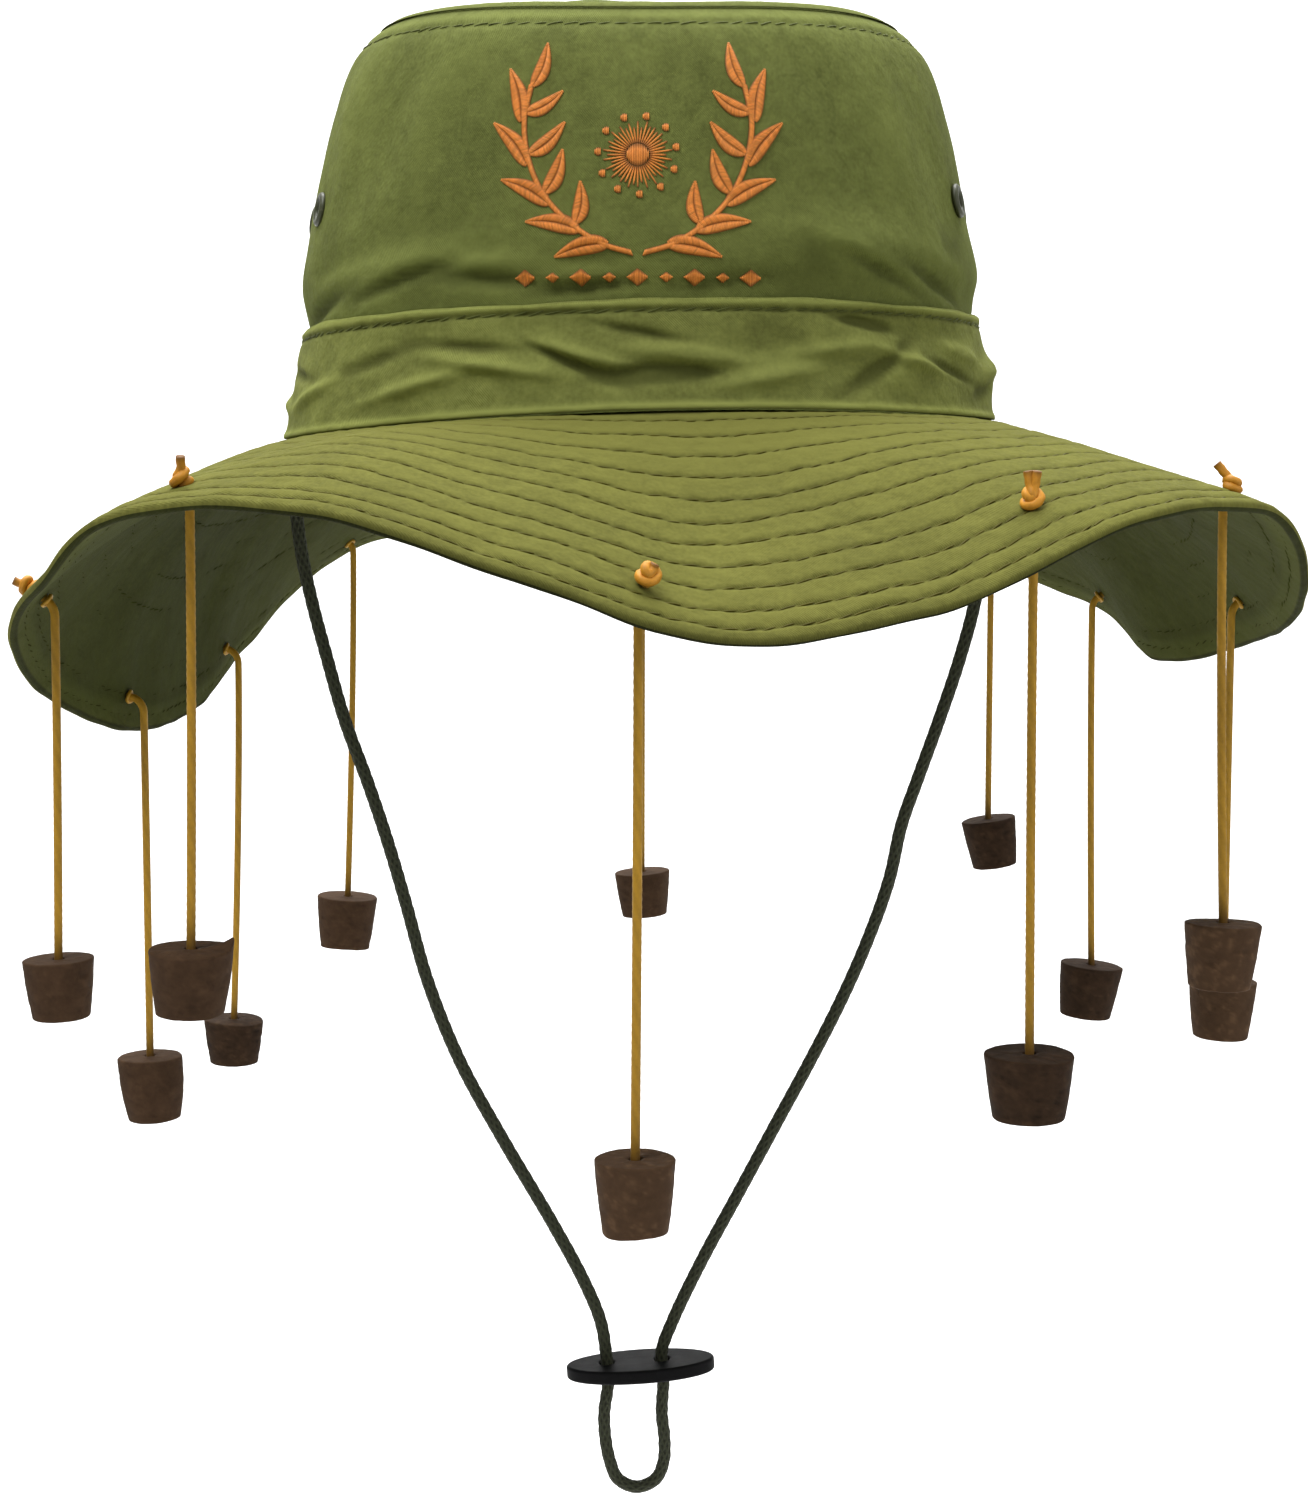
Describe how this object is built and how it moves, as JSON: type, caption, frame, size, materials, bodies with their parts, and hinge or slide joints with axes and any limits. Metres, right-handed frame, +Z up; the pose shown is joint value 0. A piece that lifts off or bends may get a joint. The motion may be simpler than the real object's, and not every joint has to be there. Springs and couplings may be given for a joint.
{
  "type": "cork hat",
  "caption": "Soft cotton hat with an upright crown and a wide wavy stitched brim, corks hanging from the brim on cords, and a chin cord with a flat slide.",
  "frame": {"origin": "centre of the head opening, level with the base seam at the front and back, where the hat sits on a head", "axes": "+Z up through the crown, -Y to the hat's front, +X to the left side of the wearer, which is the right of the picture"},
  "size_m": [0.3095, 0.3649, 0.3856],
  "materials": {
    "crown_cloth": "olive green cotton twill, matt",
    "brim_cloth": "olive green cotton twill in rows of dark green stitching, darker below",
    "eyelet": "dark olive, satin",
    "amber_cord": "amber twisted cord, waxed",
    "cork": "dark brown cork, matt",
    "chin_braid": "dark olive braided cord, matt",
    "slide_plastic": "black moulded plastic, satin"
  },
  "bodies": {
    "root": {"crown_tip": "crown_cloth", "crown_side": "crown_cloth", "crown_band": "crown_cloth", "brim": "brim_cloth", "eyelet_left_front": "eyelet", "eyelet_left_back": "eyelet", "eyelet_right_front": "eyelet", "eyelet_right_back": "eyelet", "cord_front": "amber_cord", "knot_front": "amber_cord", "cork_front": "cork", "cord_right_front": "amber_cord", "knot_right_front": "amber_cord", "cork_right_front": "cork", "cord_right": "amber_cord", "knot_right": "amber_cord", "cork_right": "cork", "cord_right_side": "amber_cord", "knot_right_side": "amber_cord", "cork_right_side": "cork", "cord_right_rear": "amber_cord", "knot_right_rear": "amber_cord", "cork_right_rear": "cork", "cord_back_right": "amber_cord", "knot_back_right": "amber_cord", "cork_back_right": "cork", "cord_back": "amber_cord", "knot_back": "amber_cord", "cork_back": "cork", "cord_back_left": "amber_cord", "knot_back_left": "amber_cord", "cork_back_left": "cork", "cord_left_rear": "amber_cord", "knot_left_rear": "amber_cord", "cork_left_rear": "cork", "cord_left_side": "amber_cord", "knot_left_side": "amber_cord", "cork_left_side": "cork", "cord_left": "amber_cord", "knot_left": "amber_cord", "cork_left": "cork", "cord_left_front": "amber_cord", "knot_left_front": "amber_cord", "cork_left_front": "cork", "chin_cord": "chin_braid", "toggle": "slide_plastic"}
  },
  "joints": []
}
